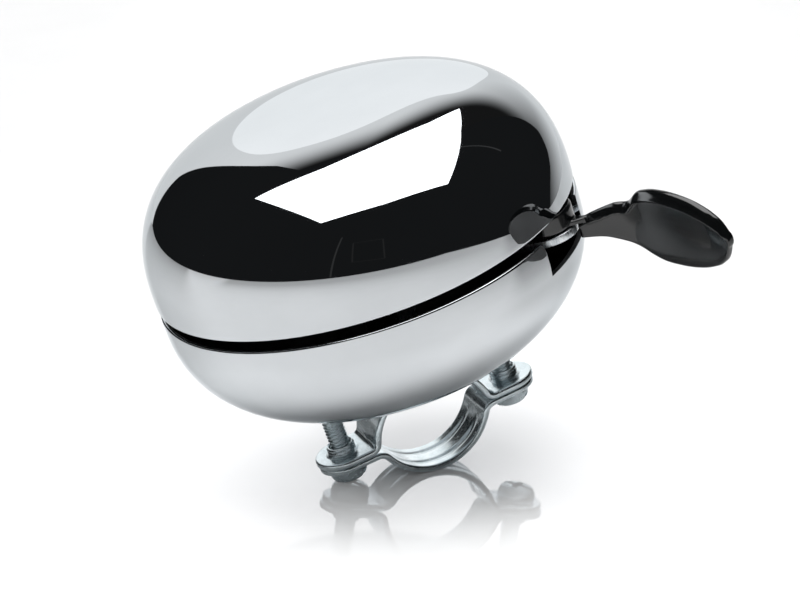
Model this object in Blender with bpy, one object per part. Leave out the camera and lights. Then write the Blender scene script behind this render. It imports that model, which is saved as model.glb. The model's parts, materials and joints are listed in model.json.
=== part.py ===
"""Two-tone bicycle bell on a handlebar clamp.

Metres, +Z up along the bell axis, +X through the two clamp screws, +Y along the handlebar.
The origin is the centre of the handlebar in the clamp. The mechanism sits on its own frame,
whose +X points along the thumb lever and whose height zero is the middle of the gap between
the two shells.
"""

import math

import bmesh
import bpy
from mathutils import Vector

MM = 0.001
GAP = 0.1 * MM

# Handlebar and clamp straps.
BAR_RADIUS = 11.1 * MM
STRAP_THICKNESS = 1.2 * MM
STRAP_HALF_WIDTH = 5.4 * MM
LOWER_STRAP_HALF_WIDTH = 5.1 * MM
SADDLE_INNER_RADIUS = 11.35 * MM
SADDLE_EAR_TOP = 2.41 * MM
SADDLE_BEND = 1.8 * MM
U_INNER_RADIUS = 11.15 * MM
U_CENTRE_HEIGHT = 4.83 * MM
U_BEND = 2.2 * MM
COLLAR_RADIUS = 2.7 * MM
COLLAR_HEIGHT = 1.8 * MM

# Clamp screws, M4.
SCREW_SPACING = 34.7 * MM
SCREW_RADIUS = 1.95 * MM
SCREW_HOLE_RADIUS = 2.1 * MM
SCREW_LENGTH = 12.0 * MM
HEAD_RADIUS = 3.65 * MM
HEAD_HEIGHT = 2.8 * MM
SLOT_WIDTH = 1.1 * MM
SLOT_DEPTH = 1.3 * MM
SLOT_AZIMUTH = -48.0
CROSS_ARM = 2.0 * MM

# Bell shells: superellipses of revolution, heights from the middle of the seam.
SHELL_SHEET = 1.0 * MM
SEAM_HALF_GAP = 1.07 * MM
UPPER_RADIUS = 40.16 * MM
UPPER_RISE = 24.83 * MM
UPPER_START = 2.2 * MM
UPPER_POWERS = (3.2, 2.48)
LOWER_RADIUS = 40.05 * MM
LOWER_DROP = 23.44 * MM
LOWER_START = 4.24 * MM
LOWER_POWERS = (2.56, 2.16)
SHELL_SEGMENTS = 56
NOTCH_FLOOR = -7.65 * MM
NOTCH_SIDES = (-17.5, 9.0)

SADDLE_CROWN = BAR_RADIUS + 0.02 * MM
SEAM_HEIGHT = SADDLE_CROWN + STRAP_THICKNESS + GAP + LOWER_START + LOWER_DROP

# Centre stud, M6, and what is stacked on it.
STUD_RADIUS = 3.0 * MM
STUD_HOLE_RADIUS = 3.15 * MM
STUD_TOP = 24.0 * MM
STUD_FOOT_HEIGHT = 0.7 * MM
HEX_RADIUS = 5.77 * MM
NUT_HEIGHT = 4.0 * MM
WASHER_THICKNESS = 1.0 * MM
SHELL_WASHER_RADIUS = 7.0 * MM
PLATE_SPACER_RADIUS = 5.0 * MM
PLATE_WASHER_RADIUS = 5.3 * MM
PLATE_WASHER_THICKNESS = 0.9 * MM
SHELL_SPACER_RADIUS = 4.5 * MM
BOSS_RADIUS = 5.5 * MM
BOSS_FLANGE_RADIUS = 8.0 * MM
BOSS_FLANGE_THICKNESS = 1.2 * MM
BOSS_BOTTOM = 17.0 * MM
SHELL_SEAT = 0.35 * MM

# Mechanism, in its own frame.
LEVER_AZIMUTH = -39.7
PLATE_TOP = -3.5 * MM
PLATE_THICKNESS = 1.5 * MM
LEVER_PIVOT = 34.5 * MM
EAR_RADIUS = 6.1 * MM
PLATE_END_RADIUS = 8.0 * MM
HUB_RADIUS = 5.9 * MM
HUB_BOTTOM = -3.3 * MM
HUB_TOP = 0.3 * MM
NECK_TOP = -1.8 * MM
SECTOR_TOP = -1.2 * MM
RIVET_RADIUS = 1.8 * MM
RIVET_FOOT_RADIUS = 2.8 * MM
RIVET_CAP_RADIUS = 2.5 * MM
RIVET_CAP_HEIGHT = 1.0 * MM
LEVER_WASHER_RADIUS = 3.2 * MM
PIN_FOOT = 0.9 * MM
THIN_WASHER = 0.5 * MM
RUNNING_CLEARANCE = 0.05 * MM

GEAR_MODULE = 0.8 * MM
PINION_TEETH = 15
SECTOR_FULL_TEETH = 35
SECTOR_FIRST_TOOTH = -2
SECTOR_LAST_TOOTH = 3
TOOTH_ADDENDUM = 0.8
TOOTH_DEDENDUM = 1.2
TOOTH_PLAY = 0.05 * MM
PRESSURE_ANGLE = math.radians(20)
GEAR_CENTRES = GEAR_MODULE * (PINION_TEETH + SECTOR_FULL_TEETH) / 2
ROCKER_PIVOT = LEVER_PIVOT - GEAR_CENTRES

ROCKER_BOTTOM = -1.0 * MM
ROCKER_TOP = 0.2 * MM
ROCKER_HUB_RADIUS = 5.0 * MM
ARM_END_RADIUS = 3.2 * MM
POST_RADIUS = 1.5 * MM
POST_FOOT_RADIUS = 2.4 * MM
POST_TOP = 2.2 * MM
POST_WASHER_RADIUS = 2.5 * MM
CLIP_RADIUS = 2.4 * MM
UPPER_ARM = (25.5 * MM, -131.9)
LOWER_ARM = (24.5 * MM, 69.2)
HAMMER_RADIUS = 4.5 * MM
HAMMER_EASE = 0.6 * MM
HAMMER_SHANK = 1.25 * MM
HAMMER_COLLAR_RADIUS = 2.4 * MM
HAMMER_COLLAR_HEIGHT = 0.8 * MM
SHANK_STUB = 0.2 * MM
UPPER_HAMMER_TOP = 9.0 * MM
LOWER_HAMMER_BOTTOM = -12.0 * MM

PEG_RADIUS = 0.8 * MM
PEG_HEAD_RADIUS = 1.4 * MM
PEG_TOP = 2.9 * MM
PEG_SPOT = (6.76 * MM, -0.31 * MM)
SPRING_PIN_RADIUS = 0.6 * MM
SPRING_PIN_RISE = 1.8 * MM
SPRING_PIN_ARM = (8.0 * MM, UPPER_ARM[1])
SPRING_WIRE = 0.25 * MM
SPRING_COIL = 3.2 * MM
SPRING_PITCH = 0.65 * MM
SPRING_LEG_END = 1.2 * MM

# Thumb lever blade: distance along it from the hub's edge, top edge, bottom edge.
BLADE_START = 6.5 * MM
BLADE_BEND_FROM = 7.2 * MM
BLADE_BEND_TO = 12.2 * MM
BLADE_BEND = -30.0
BLADE_SHEET = 1.5 * MM
BLADE_FLANGE = 1.9 * MM
BLADE_EDGES = (
    (0.0, -3.0, -6.5),
    (1.6, -2.3, -6.6),
    (4.5, -1.4, -7.0),
    (7.5, -0.7, -8.2),
    (10.4, -0.5, -9.6),
    (11.4, 0.2, -10.1),
    (12.9, 1.4, -10.9),
    (15.5, 2.2, -11.9),
    (19.5, 2.35, -12.4),
    (23.5, 1.8, -12.4),
    (27.5, 0.6, -11.7),
    (30.2, -0.9, -10.6),
    (31.9, -2.6, -9.0),
    (32.7, -4.3, -7.2),
)


def remove_everything():
    for thing in list(bpy.data.objects):
        bpy.data.objects.remove(thing, do_unlink=True)


def material(name, colour, metallic, roughness):
    made = bpy.data.materials.new(name)
    made.use_nodes = True
    shader = made.node_tree.nodes["Principled BSDF"]
    shader.inputs["Base Color"].default_value = (*colour, 1.0)
    shader.inputs["Metallic"].default_value = metallic
    shader.inputs["Roughness"].default_value = roughness
    made.diffuse_color = (*colour, 1.0)
    return made


def frame(name, height, turn=0.0):
    holder = bpy.data.objects.new(name, None)
    bpy.context.scene.collection.objects.link(holder)
    holder.location = (0.0, 0.0, height)
    holder.rotation_euler = (0.0, 0.0, math.radians(turn))
    return holder


def place(name, mesh, skin, parent=None, spot=(0.0, 0.0, 0.0)):
    """Turn a bmesh into a named object whose origin is at `spot` in its parent's frame."""
    bmesh.ops.recalc_face_normals(mesh, faces=mesh.faces)
    data = bpy.data.meshes.new(name)
    mesh.to_mesh(data)
    mesh.free()
    data.shade_smooth()
    data.set_sharp_from_angle(angle=math.radians(35))
    thing = bpy.data.objects.new(name, data)
    bpy.context.scene.collection.objects.link(thing)
    thing.parent = parent
    thing.location = spot
    if skin:
        data.materials.append(skin)
    return thing


def apply_tool(target, tool, operation):
    tool.hide_render = True
    tool.display_type = "WIRE"
    change = target.modifiers.new(tool.name, "BOOLEAN")
    change.operation = operation
    change.object = tool


def cut(target, mesh, name):
    apply_tool(target, place(name, mesh, None, target.parent, target.location), "DIFFERENCE")


def join(target, mesh, name):
    apply_tool(target, place(name, mesh, None, target.parent, target.location), "UNION")


def keep_inside(target, mesh, name):
    apply_tool(target, place(name, mesh, None, target.parent, target.location), "INTERSECT")


def turned(profile, segments, centre=(0.0, 0.0)):
    """Solid of revolution about a vertical axis from a closed (radius, height) outline."""
    mesh = bmesh.new()
    rings = []
    for radius, height in profile:
        if radius == 0.0:
            rings.append([mesh.verts.new((centre[0], centre[1], height))])
            continue
        ring = []
        for step in range(segments):
            angle = 2 * math.pi * step / segments
            x = centre[0] + radius * math.cos(angle)
            y = centre[1] + radius * math.sin(angle)
            ring.append(mesh.verts.new((x, y, height)))
        rings.append(ring)
    for low, high in zip(rings, rings[1:] + rings[:1]):
        for step in range(segments):
            after = (step + 1) % segments
            if len(low) > 1 and len(high) > 1:
                mesh.faces.new((low[step], low[after], high[after], high[step]))
            elif len(low) > 1:
                mesh.faces.new((low[step], low[after], high[0]))
            elif len(high) > 1:
                mesh.faces.new((low[0], high[after], high[step]))
    return mesh


def tube(outer, inner, low, high, segments=24):
    return turned(((inner, low), (outer, low), (outer, high), (inner, high)), segments)


def rod(radius, low, high, segments=20, centre=(0.0, 0.0)):
    profile = ((0.0, low), (radius, low), (radius, high), (0.0, high))
    return turned(profile, segments, centre)


def prism(outline, low, high):
    """Upright solid over a flat (x, y) outline."""
    mesh = bmesh.new()
    floor = [mesh.verts.new((x, y, low)) for x, y in outline]
    lid = [mesh.verts.new((x, y, high)) for x, y in outline]
    mesh.faces.new(floor[::-1])
    mesh.faces.new(lid)
    for here in range(len(outline)):
        after = (here + 1) % len(outline)
        mesh.faces.new((floor[here], floor[after], lid[after], lid[here]))
    return mesh


def circle(x, y, radius, segments=28):
    steps = [2 * math.pi * step / segments for step in range(segments)]
    return [(x + radius * math.cos(angle), y + radius * math.sin(angle)) for angle in steps]


def hull(circles):
    """Convex outline round a set of (x, y, radius) circles, anticlockwise."""
    points = sorted(point for x, y, radius in circles for point in circle(x, y, radius))

    def chain(ordered):
        line = []
        for point in ordered:
            while len(line) > 1 and turn(line[-2], line[-1], point) <= 0:
                line.pop()
            line.append(point)
        return line[:-1]

    return chain(points) + chain(points[::-1])


def turn(first, second, third):
    across = (second[0] - first[0]) * (third[1] - first[1])
    return across - (second[1] - first[1]) * (third[0] - first[0])


def polar(radius, degrees):
    return radius * math.cos(math.radians(degrees)), radius * math.sin(math.radians(degrees))


def sweep(points, radius, sides=6):
    """Round wire along a line of points, closed at both ends."""
    mesh = bmesh.new()
    rings = []
    across = None
    for place_in_line, point in enumerate(points):
        before = points[max(place_in_line - 1, 0)]
        after = points[min(place_in_line + 1, len(points) - 1)]
        along = (Vector(after) - Vector(before)).normalized()
        if across is None:
            across = along.orthogonal()
        across = (across - along * across.dot(along)).normalized()
        up = along.cross(across)
        ring = []
        for side in range(sides):
            angle = 2 * math.pi * side / sides
            offset = across * math.cos(angle) + up * math.sin(angle)
            ring.append(mesh.verts.new(Vector(point) + offset * radius))
        rings.append(ring)
    for low, high in zip(rings, rings[1:]):
        for side in range(sides):
            after = (side + 1) % sides
            mesh.faces.new((low[side], low[after], high[after], high[side]))
    mesh.faces.new(rings[0][::-1])
    mesh.faces.new(rings[-1])
    return mesh


def superellipse(radius, rise, start, powers, steps):
    """Points from the widest ring to the pole: (radius, height)."""
    points = []
    for step in range(steps):
        angle = math.pi / 2 * step / steps
        reach = radius * math.cos(angle) ** (2 / powers[0])
        height = start + rise * math.sin(angle) ** (2 / powers[1])
        points.append((reach, height))
    points.append((0.0, start + rise))
    return points


def shell_outline(radius, rise, start, powers):
    """Closed outline of one shell: rim, outside to the pole, back along the inside."""
    outside = superellipse(radius, rise, start, powers, 11)
    inside = superellipse(radius - SHELL_SHEET, rise - SHELL_SHEET, start, powers, 8)
    rim = [(radius - SHELL_SHEET, SEAM_HALF_GAP), (radius, SEAM_HALF_GAP)]
    return rim + outside + inside[::-1]


def upside_down(profile):
    return [(radius, -height) for radius, height in profile]


def hexagon(low, high):
    return prism(circle(0.0, 0.0, HEX_RADIUS, 6), low, high)


def gear_half_angle(radius, pitch_radius, teeth):
    """Half the angle that a tooth covers at a radius, on an involute flank."""
    base = pitch_radius * math.cos(PRESSURE_ANGLE)
    at_pitch = math.pi / (2 * teeth) - TOOTH_PLAY / pitch_radius
    slope = math.acos(min(1.0, base / max(radius, base)))
    involute = math.tan(slope) - slope
    return at_pitch + math.tan(PRESSURE_ANGLE) - PRESSURE_ANGLE - involute


def gear_tooth(pitch_radius, teeth, centre):
    """One tooth's outline at an angle, from its root on one side to its root on the other."""
    root = pitch_radius - TOOTH_DEDENDUM * GEAR_MODULE
    tip = pitch_radius + TOOTH_ADDENDUM * GEAR_MODULE
    radii = [root + (tip - root) * part for part in (0.0, 0.4, 0.7, 1.0)]
    rising = [(radius, centre - gear_half_angle(radius, pitch_radius, teeth)) for radius in radii]
    falling = [(radius, 2 * centre - angle) for radius, angle in rising[::-1]]
    return [(radius * math.cos(angle), radius * math.sin(angle)) for radius, angle in rising + falling]


def arc(centre, radius, first, last, steps):
    points = []
    for step in range(steps + 1):
        angle = math.radians(first + (last - first) * step / steps)
        points.append((centre[0] + radius * math.cos(angle), centre[1] + radius * math.sin(angle)))
    return points


def half_strap(ear_height, bend, arch_radius, arch_height, upward):
    """Middle line of half a strap in (x, z): from the ear's end to the middle of the arch."""
    side = 1.0 if upward else -1.0
    rise = abs(ear_height - arch_height) + bend
    bend_x = math.sqrt((arch_radius + bend) ** 2 - rise ** 2)
    lean = math.degrees(math.atan2(rise, bend_x))
    ear_end = SCREW_SPACING / 2 + STRAP_HALF_WIDTH + MM
    line = [(ear_end, ear_height)]
    line += arc((bend_x, ear_height + side * bend), bend, -90 * side, (lean - 180) * side, 5)
    line += arc((0.0, arch_height), arch_radius, lean * side, 90 * side, 9)[1:]
    return line


def strap_side(line, thickness):
    """Closed side outline, `thickness` wide, about a middle line of (x, z) points."""
    front = []
    back = []
    for here, point in enumerate(line):
        before = Vector(line[max(here - 1, 0)])
        after = Vector(line[min(here + 1, len(line) - 1)])
        along = (after - before).normalized()
        across = Vector((-along.y, along.x)) * thickness / 2
        front.append((point[0] + across.x, point[1] + across.y))
        back.append((point[0] - across.x, point[1] - across.y))
    return front + back[::-1]


def strap(name, half_line, half_width, skin, parent=None, spot=(0.0, 0.0, 0.0)):
    """Bent strip with round ears."""
    mirrored = [(-x, z) for x, z in half_line[::-1]]
    side = strap_side(half_line + mirrored[1:], STRAP_THICKNESS)
    mesh = bmesh.new()
    near = [mesh.verts.new((x, -half_width - MM, z)) for x, z in side]
    far = [mesh.verts.new((x, half_width + MM, z)) for x, z in side]
    mesh.faces.new(near)
    mesh.faces.new(far[::-1])
    for here in range(len(side)):
        after = (here + 1) % len(side)
        mesh.faces.new((near[after], near[here], far[here], far[after]))
    made = place(name, mesh, skin, parent, spot)
    reach = SCREW_SPACING / 2
    outline = hull(((reach, 0.0, half_width), (-reach, 0.0, half_width)))
    keep_inside(made, prism(outline, -20 * MM, 20 * MM), name + "_plan")
    return made


# ---- clamp ----

def build_clamp(zinc, steel):
    reach = SCREW_SPACING / 2
    ear = SADDLE_EAR_TOP - STRAP_THICKNESS / 2
    arch = SADDLE_INNER_RADIUS + STRAP_THICKNESS / 2
    line = half_strap(ear, SADDLE_BEND, arch, SADDLE_CROWN - SADDLE_INNER_RADIUS, True)
    saddle = strap("clamp_saddle", line, STRAP_HALF_WIDTH, zinc)
    for side, mark in ((-1, "left"), (1, "right")):
        collar_low = SADDLE_EAR_TOP - 0.5 * MM
        collar_top = SADDLE_EAR_TOP + COLLAR_HEIGHT
        join(saddle, rod(COLLAR_RADIUS, collar_low, collar_top, 24, (side * reach, 0.0)), "collar_" + mark)
    for side, mark in ((-1, "left"), (1, "right")):
        hole = rod(SCREW_HOLE_RADIUS, -5 * MM, 10 * MM, 24, (side * reach, 0.0))
        cut(saddle, hole, "saddle_hole_" + mark)
    mouth = SADDLE_CROWN - 1.5 * MM
    throat = SADDLE_CROWN + STUD_FOOT_HEIGHT
    wide = STUD_HOLE_RADIUS + throat - mouth
    funnel = ((0.0, mouth), (wide, mouth), (STUD_HOLE_RADIUS, throat), (STUD_HOLE_RADIUS, 15 * MM), (0.0, 15 * MM))
    cut(saddle, turned(funnel, 24), "saddle_stud_hole")

    ear = SADDLE_EAR_TOP - 1.5 * STRAP_THICKNESS - GAP
    arch = U_INNER_RADIUS + STRAP_THICKNESS / 2
    line = half_strap(ear, U_BEND, arch, U_CENTRE_HEIGHT, False)
    lower = strap("lower_strap", line, LOWER_STRAP_HALF_WIDTH, zinc)
    for side, mark in ((-1, "left"), (1, "right")):
        hole = rod(SCREW_HOLE_RADIUS, -5 * MM, 10 * MM, 24, (side * reach, 0.0))
        cut(lower, hole, "lower_hole_" + mark)

    for side, mark in ((-1, "left"), (1, "right")):
        build_screw("clamp_screw_" + mark, side * reach, steel)


def build_screw(name, x, skin):
    seat = SADDLE_EAR_TOP - 2 * STRAP_THICKNESS - 2 * GAP
    profile = (
        (0.0, -HEAD_HEIGHT),
        (HEAD_RADIUS * 0.72, -HEAD_HEIGHT),
        (HEAD_RADIUS * 0.93, -HEAD_HEIGHT * 0.75),
        (HEAD_RADIUS, -HEAD_HEIGHT * 0.4),
        (HEAD_RADIUS, 0.0),
        (SCREW_RADIUS, 0.0),
        (SCREW_RADIUS, SCREW_LENGTH - 0.5 * MM),
        (SCREW_RADIUS * 0.75, SCREW_LENGTH),
        (0.0, SCREW_LENGTH),
    )
    screw = place(name, turned(profile, 24), skin, None, (x, 0.0, seat))
    bar = SLOT_WIDTH / 2
    arm = CROSS_ARM
    end = HEAD_RADIUS + MM
    depth = -HEAD_HEIGHT + SLOT_DEPTH
    cross = ((end, -bar), (end, bar), (bar, bar), (bar, arm), (-bar, arm), (-bar, bar),
             (-end, bar), (-end, -bar), (-bar, -bar), (-bar, -arm), (bar, -arm), (bar, -bar))
    along = Vector(polar(1.0, SLOT_AZIMUTH))
    cross = [(x * along.x - y * along.y, x * along.y + y * along.x) for x, y in cross]
    cut(screw, prism(cross, -HEAD_HEIGHT - MM, depth), name + "_recess")


# ---- shells and what is stacked on the stud ----

def build_shells(chrome, bell):
    upper = shell_outline(UPPER_RADIUS, UPPER_RISE, UPPER_START, UPPER_POWERS)
    place("upper_shell", turned(upper, SHELL_SEGMENTS), chrome, bell)
    lower = shell_outline(LOWER_RADIUS, LOWER_DROP, LOWER_START, LOWER_POWERS)
    shell = place("lower_shell", turned(upside_down(lower), SHELL_SEGMENTS), chrome, bell)
    cut(shell, rod(STUD_HOLE_RADIUS, -35 * MM, -20 * MM, 24), "lower_shell_hole")
    first, last = (LEVER_AZIMUTH + side for side in NOTCH_SIDES)
    wedge = [polar(30 * MM, first), polar(60 * MM, first), polar(60 * MM, last), polar(30 * MM, last)]
    cut(shell, prism(wedge, NOTCH_FLOOR, 5 * MM), "lower_shell_notch")


def build_stack(zinc, brass, bell):
    foot = -SEAM_HEIGHT + SADDLE_CROWN
    flare = STUD_RADIUS + STUD_FOOT_HEIGHT
    profile = ((0.0, foot), (flare, foot), (STUD_RADIUS, foot + STUD_FOOT_HEIGHT),
               (STUD_RADIUS, STUD_TOP - 0.5 * MM), (STUD_RADIUS * 0.8, STUD_TOP), (0.0, STUD_TOP))
    place("center_stud", turned(profile, 24), zinc, bell)

    floor = -LOWER_START - LOWER_DROP + SHELL_SHEET + SHELL_SEAT
    place("shell_washer", tube(SHELL_WASHER_RADIUS, STUD_HOLE_RADIUS, floor, floor + WASHER_THICKNESS), zinc, bell)
    nut_low = floor + WASHER_THICKNESS + GAP
    nut_high = nut_low + NUT_HEIGHT
    nut = place("shell_nut", hexagon(nut_low, nut_high), zinc, bell)
    cut(nut, rod(STUD_HOLE_RADIUS, nut_low - MM, nut_high + MM, 24), "shell_nut_hole")
    plate_bottom = PLATE_TOP - PLATE_THICKNESS
    spacer = tube(PLATE_SPACER_RADIUS, STUD_HOLE_RADIUS, nut_high + GAP, plate_bottom - GAP)
    place("plate_spacer", spacer, zinc, bell)

    washer_low = PLATE_TOP + GAP
    washer_high = washer_low + PLATE_WASHER_THICKNESS
    place("plate_washer", tube(PLATE_WASHER_RADIUS, STUD_HOLE_RADIUS, washer_low, washer_high), zinc, bell)
    nut_low = washer_high + GAP
    nut_high = nut_low + NUT_HEIGHT
    nut = place("plate_nut", hexagon(nut_low, nut_high), zinc, bell)
    cut(nut, rod(STUD_HOLE_RADIUS, nut_low - MM, nut_high + MM, 24), "plate_nut_hole")
    spacer = tube(SHELL_SPACER_RADIUS, STUD_HOLE_RADIUS, nut_high + GAP, BOSS_BOTTOM - GAP)
    place("shell_spacer", spacer, zinc, bell)

    ceiling = UPPER_START + UPPER_RISE - SHELL_SHEET - SHELL_SEAT
    profile = ((0.0, STUD_TOP + MM), (STUD_HOLE_RADIUS, STUD_TOP + MM), (STUD_HOLE_RADIUS, BOSS_BOTTOM),
               (BOSS_RADIUS, BOSS_BOTTOM), (BOSS_RADIUS, ceiling - BOSS_FLANGE_THICKNESS - 0.3 * MM),
               (BOSS_FLANGE_RADIUS, ceiling - BOSS_FLANGE_THICKNESS), (BOSS_FLANGE_RADIUS, ceiling),
               (0.0, ceiling))
    place("shell_boss", turned(profile, 28), brass, bell)


# ---- mechanism ----

def build_plate(zinc, works):
    outline = hull(((0.0, 0.0, PLATE_END_RADIUS), (LEVER_PIVOT, 0.0, EAR_RADIUS)))
    bottom = PLATE_TOP - PLATE_THICKNESS
    plate = place("base_plate", prism(outline, bottom, PLATE_TOP), zinc, works)
    holes = (
        ("stud", 0.0, 0.0, STUD_HOLE_RADIUS),
        ("post", ROCKER_PIVOT, 0.0, POST_RADIUS + GAP),
        ("rivet", LEVER_PIVOT, 0.0, RIVET_RADIUS + GAP),
        ("peg", *PEG_SPOT, PEG_RADIUS + GAP),
    )
    for mark, x, y, radius in holes:
        cut(plate, rod(radius, bottom - MM, PLATE_TOP + MM, 20, (x, y)), "plate_hole_" + mark)


def headed_pin(radius, head_radius, foot, top, cap=None):
    """Pin through the plate: a peened foot under it, a shaft, and sometimes a cap on top."""
    plate_bottom = PLATE_TOP - PLATE_THICKNESS
    profile = [(0.0, foot), (head_radius * 0.8, foot), (head_radius, foot + 0.3 * MM),
               (head_radius, plate_bottom - GAP), (radius, plate_bottom - GAP)]
    if cap:
        cap_radius, cap_low = cap
        profile += [(radius, cap_low), (cap_radius, cap_low), (cap_radius, (cap_low + top) / 2),
                    (cap_radius * 0.7, top), (0.0, top)]
    else:
        profile += [(radius, top - 0.2 * MM), (radius * 0.8, top), (0.0, top)]
    return turned(profile, 20)


def build_pins(zinc, works):
    foot = PLATE_TOP - PLATE_THICKNESS - PIN_FOOT
    cap_low = HUB_TOP + THIN_WASHER + GAP
    cap = (RIVET_CAP_RADIUS, cap_low)
    rivet = headed_pin(RIVET_RADIUS, RIVET_FOOT_RADIUS, foot, cap_low + RIVET_CAP_HEIGHT, cap)
    place("lever_rivet", rivet, zinc, works, (LEVER_PIVOT, 0.0, 0.0))
    washer = tube(LEVER_WASHER_RADIUS, RIVET_RADIUS + GAP, HUB_TOP + GAP, HUB_TOP + THIN_WASHER)
    place("lever_washer", washer, zinc, works, (LEVER_PIVOT, 0.0, 0.0))

    post = headed_pin(POST_RADIUS, POST_FOOT_RADIUS, foot, POST_TOP)
    place("rocker_post", post, zinc, works, (ROCKER_PIVOT, 0.0, 0.0))
    washer = tube(POST_WASHER_RADIUS, POST_RADIUS + GAP, ROCKER_TOP + GAP, ROCKER_TOP + THIN_WASHER)
    place("post_washer", washer, zinc, works, (ROCKER_PIVOT, 0.0, 0.0))
    clip_low = ROCKER_TOP + THIN_WASHER + GAP
    clip = tube(CLIP_RADIUS, POST_RADIUS + RUNNING_CLEARANCE, clip_low, clip_low + THIN_WASHER)
    place("post_clip", clip, zinc, works, (ROCKER_PIVOT, 0.0, 0.0))

    peg = headed_pin(PEG_RADIUS, PEG_HEAD_RADIUS, foot, PEG_TOP)
    place("spring_peg", peg, zinc, works, (*PEG_SPOT, 0.0))


def build_pinion(brass, works):
    outline = []
    for tooth in range(PINION_TEETH):
        centre = 2 * math.pi * tooth / PINION_TEETH
        outline += gear_tooth(GEAR_MODULE * PINION_TEETH / 2, PINION_TEETH, centre)
    spot = (ROCKER_PIVOT, 0.0, 0.0)
    pinion = place("rocker_pinion", prism(outline, HUB_BOTTOM, ROCKER_BOTTOM - GAP), brass, works, spot)
    bore = rod(POST_RADIUS + RUNNING_CLEARANCE, HUB_BOTTOM - MM, ROCKER_BOTTOM + MM, 24)
    cut(pinion, bore, "pinion_bore")


def build_rocker(steel, works):
    spot = (ROCKER_PIVOT, 0.0, 0.0)
    hub = (0.0, 0.0, ROCKER_HUB_RADIUS)
    upper_end = polar(*UPPER_ARM)
    lower_end = polar(*LOWER_ARM)
    upper_arm = hull((hub, (*upper_end, ARM_END_RADIUS)))
    lower_arm = hull((hub, (*lower_end, ARM_END_RADIUS)))
    rocker = place("hammer_rocker", prism(upper_arm, ROCKER_BOTTOM, ROCKER_TOP), steel, works, spot)
    join(rocker, prism(lower_arm, ROCKER_BOTTOM, ROCKER_TOP), "rocker_lower_arm")
    holes = (
        ("bore", 0.0, 0.0, POST_RADIUS + RUNNING_CLEARANCE),
        ("upper", *upper_end, HAMMER_SHANK + GAP),
        ("lower", *lower_end, HAMMER_SHANK + GAP),
        ("pin", *polar(*SPRING_PIN_ARM), SPRING_PIN_RADIUS + GAP),
    )
    for mark, x, y, radius in holes:
        hole = rod(radius, ROCKER_BOTTOM - MM, ROCKER_TOP + MM, 20, (x, y))
        cut(rocker, hole, "rocker_hole_" + mark)


def hammer(head_low, head_high, shank_end):
    """Cylindrical head with eased edges and a shank out of one end."""
    if shank_end < head_low:
        profile = ((0.0, shank_end), (HAMMER_SHANK, shank_end), (HAMMER_SHANK, head_low))
    else:
        profile = ((0.0, head_low),)
    profile += ((HAMMER_RADIUS - HAMMER_EASE, head_low), (HAMMER_RADIUS, head_low + HAMMER_EASE),
                (HAMMER_RADIUS, head_high - HAMMER_EASE), (HAMMER_RADIUS - HAMMER_EASE, head_high))
    if shank_end > head_high:
        profile += ((HAMMER_SHANK, head_high), (HAMMER_SHANK, shank_end), (0.0, shank_end))
    else:
        profile += ((0.0, head_high),)
    return turned(profile, 24)


def build_hammers(brass, zinc, works):
    upper_end = polar(*UPPER_ARM)
    upper_spot = (ROCKER_PIVOT + upper_end[0], upper_end[1], 0.0)
    lower_end = polar(*LOWER_ARM)
    lower_spot = (ROCKER_PIVOT + lower_end[0], lower_end[1], 0.0)
    under = ROCKER_BOTTOM - GAP
    over = ROCKER_TOP + GAP
    upper_tip = under - HAMMER_COLLAR_HEIGHT - SHANK_STUB
    lower_tip = over + HAMMER_COLLAR_HEIGHT + SHANK_STUB
    place("upper_hammer", hammer(over, UPPER_HAMMER_TOP, upper_tip), brass, works, upper_spot)
    place("lower_hammer", hammer(LOWER_HAMMER_BOTTOM, under, lower_tip), brass, works, lower_spot)
    bore = HAMMER_SHANK + RUNNING_CLEARANCE
    ring = tube(HAMMER_COLLAR_RADIUS, bore, under - HAMMER_COLLAR_HEIGHT, under)
    place("upper_hammer_collar", ring, zinc, works, upper_spot)
    ring = tube(HAMMER_COLLAR_RADIUS, bore, over, over + HAMMER_COLLAR_HEIGHT)
    place("lower_hammer_collar", ring, zinc, works, lower_spot)
    pin_x, pin_y = polar(*SPRING_PIN_ARM)
    pin = rod(SPRING_PIN_RADIUS, ROCKER_BOTTOM + GAP, ROCKER_TOP + SPRING_PIN_RISE, 12)
    place("rocker_spring_pin", pin, zinc, works, (ROCKER_PIVOT + pin_x, pin_y, 0.0))


def build_spring(steel, works):
    """Torsion spring round the rocker post, from the rocker's pin to the fixed peg."""
    low = ROCKER_TOP + SPRING_WIRE + 2 * GAP
    pin = polar(*SPRING_PIN_ARM)
    peg = (PEG_SPOT[0] - ROCKER_PIVOT, PEG_SPOT[1])
    first, start = spring_leg(pin, SPRING_PIN_RADIUS, -1)
    last, end = spring_leg(peg, PEG_RADIUS, 1)
    while last < first + 4 * math.pi:
        last += 2 * math.pi
    points = [(*start, low)]
    steps = 40
    for step in range(steps + 1):
        angle = first + (last - first) * step / steps
        height = low + SPRING_PITCH * (angle - first) / (2 * math.pi)
        points.append((SPRING_COIL * math.cos(angle), SPRING_COIL * math.sin(angle), height))
    points.append((*end, points[-1][2]))
    place("return_spring", sweep(points, SPRING_WIRE), steel, works, (ROCKER_PIVOT, 0.0, 0.0))


def spring_leg(pin, pin_radius, leaving):
    """Angle on the coil where a straight leg touches it, and the leg's end beyond the pin."""
    reach = math.hypot(*pin)
    inset = SPRING_COIL - pin_radius - SPRING_WIRE - GAP
    angle = math.atan2(pin[1], pin[0]) - leaving * math.acos(inset / reach)
    length = leaving * (math.sqrt(reach ** 2 - inset ** 2) + SPRING_LEG_END)
    x = SPRING_COIL * math.cos(angle) - length * math.sin(angle)
    y = SPRING_COIL * math.sin(angle) + length * math.cos(angle)
    return angle, (x, y)


# ---- thumb lever ----

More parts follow.
